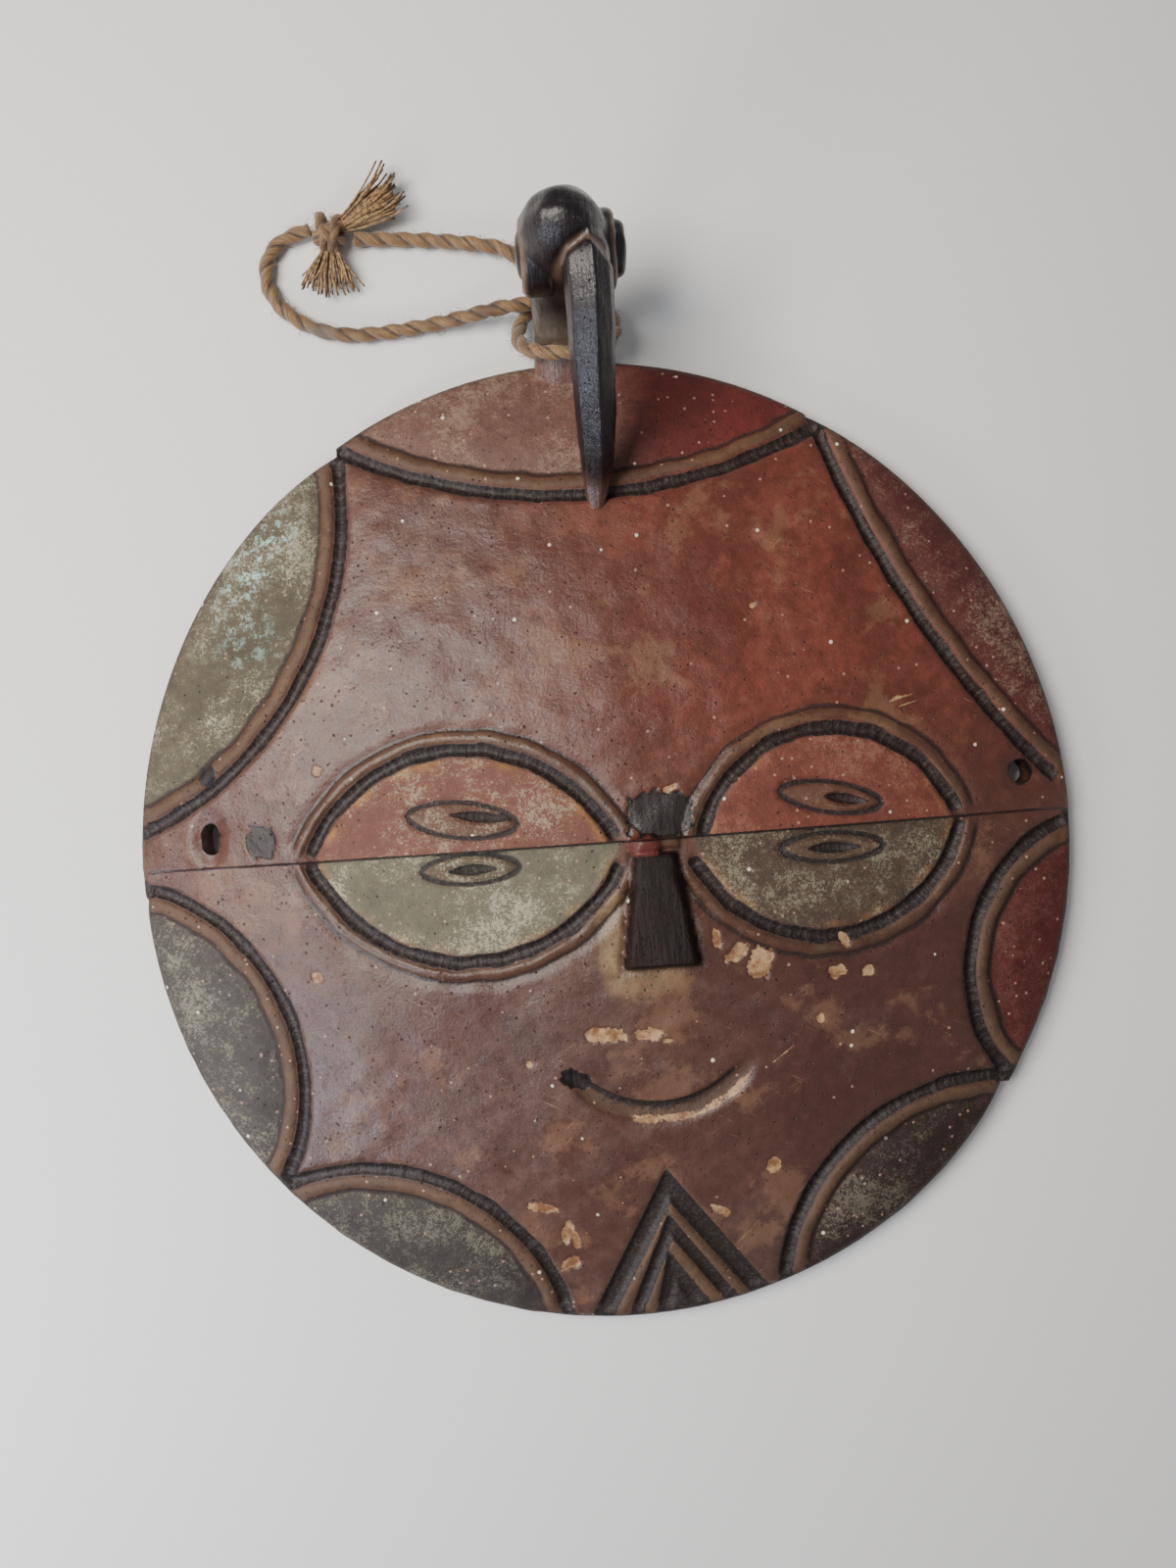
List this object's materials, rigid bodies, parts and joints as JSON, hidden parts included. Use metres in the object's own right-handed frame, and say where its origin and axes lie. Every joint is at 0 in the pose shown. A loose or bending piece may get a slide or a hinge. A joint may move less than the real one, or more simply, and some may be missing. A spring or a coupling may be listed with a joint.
{
  "type": "tribal mask",
  "caption": "Round carved wooden face mask with a long-beaked bird's head over its top edge, hollow at the back, with a looped fibre cord tied round the bird's neck.",
  "frame": {"origin": "on the surface the mask lies on, under the middle of the carving's own box", "axes": "+Z out of the face, +Y from the chin towards the bird, +X to the viewer's right along the line across the eyes"},
  "size_m": [0.3056, 0.3824, 0.0715],
  "materials": {
    "carved_wood": "hand-carved wood, reddish brown and waxed on the face, dark in the grooves, grey-green patina on the edge fields",
    "twisted_fibre": "two-ply twisted bast fibre, straw brown, frayed ends"
  },
  "bodies": {
    "root": {"mask": "carved_wood", "hanging_cord": "twisted_fibre", "cord_knot": "twisted_fibre", "frayed_end_long": "twisted_fibre", "frayed_end_short": "twisted_fibre"}
  },
  "joints": []
}
